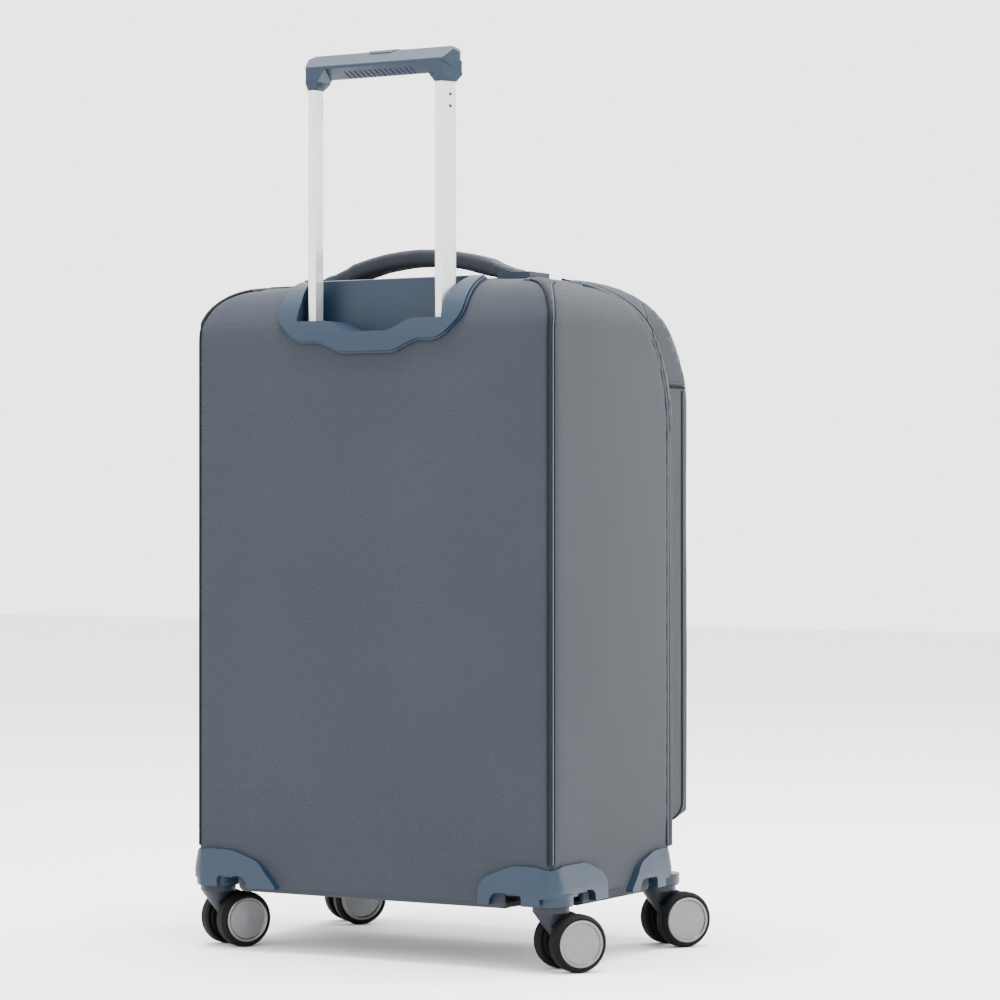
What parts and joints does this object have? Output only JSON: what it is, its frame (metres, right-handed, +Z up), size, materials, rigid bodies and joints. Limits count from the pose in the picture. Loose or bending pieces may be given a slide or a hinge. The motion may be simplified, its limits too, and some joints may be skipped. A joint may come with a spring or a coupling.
{
  "type": "suitcase",
  "caption": "Upright fabric suitcase with swivel casters, telescopic trolley handle in a moulded cup, zipped front door with pockets, and carry handles.",
  "frame": {"origin": "on the floor under the middle of the suitcase's overall box", "axes": "+Z up; the trolley handle is at +Y and the zipped door faces -Y; +X is the side that carries the side handle"},
  "size_m": [0.4924, 0.327, 0.927],
  "materials": {
    "body_fabric": "fine smooth weave, blue grey",
    "lining_fabric": "thin plain weave",
    "board": "fabric-faced board",
    "trim_fabric": "dense woven binding",
    "zip_tape": "woven zip tape with moulded teeth",
    "slate_plastic": "satin moulded plastic",
    "handle_fabric": "padded fabric",
    "black_plastic": "moulded plastic",
    "navy_plastic": "satin moulded plastic",
    "tube_aluminium": "satin anodised",
    "steel": "plated",
    "tyre": "polyurethane tread",
    "cap_silver": "satin silver",
    "zip_metal": "gunmetal"
  },
  "bodies": {
    "case": {"gusset": "body_fabric", "back_panel": "body_fabric", "front_rim": "body_fabric", "shoulder": "body_fabric", "lining": "lining_fabric", "inner_board": "board", "floor_board": "board", "welts": "trim_fabric", "door_zip_track": "zip_tape", "trolley_cup": "slate_plastic", "outer_tubes": "tube_aluminium", "tube_feet": "black_plastic", "handle_boots": "slate_plastic", "bracket_rear_left": "slate_plastic", "bracket_rear_right": "slate_plastic", "bracket_front_left": "slate_plastic", "bracket_front_right": "slate_plastic", "swivel_pins": "steel", "bracket_screws": "steel"},
    "door": {"door_panel": "body_fabric", "lower_pocket": "body_fabric", "yoke_pocket": "body_fabric", "door_zip_flap": "zip_tape", "pocket_zip": "zip_tape"},
    "middle_stage": {"mid_tubes": "tube_aluminium"},
    "grip_stage": {"inner_tubes": "tube_aluminium", "grip": "slate_plastic", "grip_screws": "steel"},
    "button": {"release_button": "slate_plastic", "push_rods": "steel"},
    "top_carry": {"top_handle": "handle_fabric"},
    "side_carry": {"side_handle": "handle_fabric"},
    "door_zipper": {"door_slider": "zip_metal"},
    "door_tab": {"door_pull": "zip_metal"},
    "pocket_zipper": {"pocket_slider": "zip_metal"},
    "pocket_tab": {"pocket_pull": "zip_metal"},
    "caster_rear_left": {"fork_rear_left": "navy_plastic", "axle_rear_left": "steel"},
    "roller_rear_left_a": {"wheel_rear_left_a": "tyre", "cap_rear_left_a": "cap_silver"},
    "roller_rear_left_b": {"wheel_rear_left_b": "tyre", "cap_rear_left_b": "cap_silver"},
    "caster_rear_right": {"fork_rear_right": "navy_plastic", "axle_rear_right": "steel"},
    "roller_rear_right_a": {"wheel_rear_right_a": "tyre", "cap_rear_right_a": "cap_silver"},
    "roller_rear_right_b": {"wheel_rear_right_b": "tyre", "cap_rear_right_b": "cap_silver"},
    "caster_front_left": {"fork_front_left": "navy_plastic", "axle_front_left": "steel"},
    "roller_front_left_a": {"wheel_front_left_a": "tyre", "cap_front_left_a": "cap_silver"},
    "roller_front_left_b": {"wheel_front_left_b": "tyre", "cap_front_left_b": "cap_silver"},
    "caster_front_right": {"fork_front_right": "navy_plastic", "axle_front_right": "steel"},
    "roller_front_right_a": {"wheel_front_right_a": "tyre", "cap_front_right_a": "cap_silver"},
    "roller_front_right_b": {"wheel_front_right_b": "tyre", "cap_front_right_b": "cap_silver"}
  },
  "joints": [
    {"name": "door_hinge", "type": "hinge", "parent": "case", "child": "door", "pos_m": [0.208, -0.11, 0.4], "axis": [0, 0, 1], "range_deg": [0, 110]},
    {"name": "middle_stage_slide", "type": "slide", "parent": "case", "child": "middle_stage", "axis": [0, 0, 1], "range_m": [0, 0.125]},
    {"name": "grip_stage_slide", "type": "slide", "parent": "middle_stage", "child": "grip_stage", "axis": [0, 0, 1], "range_m": [-0.235, 0]},
    {"name": "button_press", "type": "slide", "parent": "grip_stage", "child": "button", "axis": [0, 0, -1], "range_m": [0, 0.003], "stiffness_N_per_m": 600, "springref_m": -0.002},
    {"name": "top_handle_lift", "type": "slide", "parent": "case", "child": "top_carry", "axis": [0, 0, 1], "range_m": [0, 0.01]},
    {"name": "side_handle_lift", "type": "slide", "parent": "case", "child": "side_carry", "axis": [1, 0, 0], "range_m": [0, 0.01]},
    {"name": "door_zip_slide", "type": "slide", "parent": "case", "child": "door_zipper", "axis": [-1, 0, 0], "range_m": [0, 0.265]},
    {"name": "door_pull_swing", "type": "hinge", "parent": "door_zipper", "child": "door_tab", "pos_m": [0.135, -0.05853, 0.68716], "axis": [0, 0.9282, 0.3721], "range_deg": [0, 150]},
    {"name": "pocket_zip_slide", "type": "slide", "parent": "door", "child": "pocket_zipper", "axis": [0, 0, 1], "range_m": [-0.36, 0]},
    {"name": "pocket_pull_swing", "type": "hinge", "parent": "pocket_zipper", "child": "pocket_tab", "pos_m": [0.2117, -0.142, 0.56], "axis": [0, -1, 0], "range_deg": [0, 150]},
    {"name": "swivel_rear_left", "type": "hinge", "parent": "case", "child": "caster_rear_left", "pos_m": [-0.2, 0.134, 0.06], "axis": [0, 0, 1], "continuous": true},
    {"name": "spin_rear_left_a", "type": "hinge", "parent": "caster_rear_left", "child": "roller_rear_left_a", "pos_m": [-0.21202, 0.11727, 0.029], "axis": [-0.8121, 0.5835, 0], "continuous": true},
    {"name": "spin_rear_left_b", "type": "hinge", "parent": "caster_rear_left", "child": "roller_rear_left_b", "pos_m": [-0.21202, 0.11727, 0.029], "axis": [-0.8121, 0.5835, 0], "continuous": true},
    {"name": "swivel_rear_right", "type": "hinge", "parent": "case", "child": "caster_rear_right", "pos_m": [0.2, 0.134, 0.06], "axis": [0, 0, 1], "continuous": true},
    {"name": "spin_rear_right_a", "type": "hinge", "parent": "caster_rear_right", "child": "roller_rear_right_a", "pos_m": [0.1903, 0.11583, 0.029], "axis": [-0.8821, 0.471, 0], "continuous": true},
    {"name": "spin_rear_right_b", "type": "hinge", "parent": "caster_rear_right", "child": "roller_rear_right_b", "pos_m": [0.1903, 0.11583, 0.029], "axis": [-0.8821, 0.471, 0], "continuous": true},
    {"name": "swivel_front_left", "type": "hinge", "parent": "case", "child": "caster_front_left", "pos_m": [-0.2, -0.0956, 0.06], "axis": [0, 0, 1], "continuous": true},
    {"name": "spin_front_left_a", "type": "hinge", "parent": "caster_front_left", "child": "roller_front_left_a", "pos_m": [-0.21143, -0.11274, 0.029], "axis": [-0.832, 0.5548, 0], "continuous": true},
    {"name": "spin_front_left_b", "type": "hinge", "parent": "caster_front_left", "child": "roller_front_left_b", "pos_m": [-0.21143, -0.11274, 0.029], "axis": [-0.832, 0.5548, 0], "continuous": true},
    {"name": "swivel_front_right", "type": "hinge", "parent": "case", "child": "caster_front_right", "pos_m": [0.2, -0.0956, 0.06], "axis": [0, 0, 1], "continuous": true},
    {"name": "spin_front_right_a", "type": "hinge", "parent": "caster_front_right", "child": "roller_front_right_a", "pos_m": [0.18651, -0.11117, 0.029], "axis": [-0.7559, 0.6547, 0], "continuous": true},
    {"name": "spin_front_right_b", "type": "hinge", "parent": "caster_front_right", "child": "roller_front_right_b", "pos_m": [0.18651, -0.11117, 0.029], "axis": [-0.7559, 0.6547, 0], "continuous": true}
  ]
}
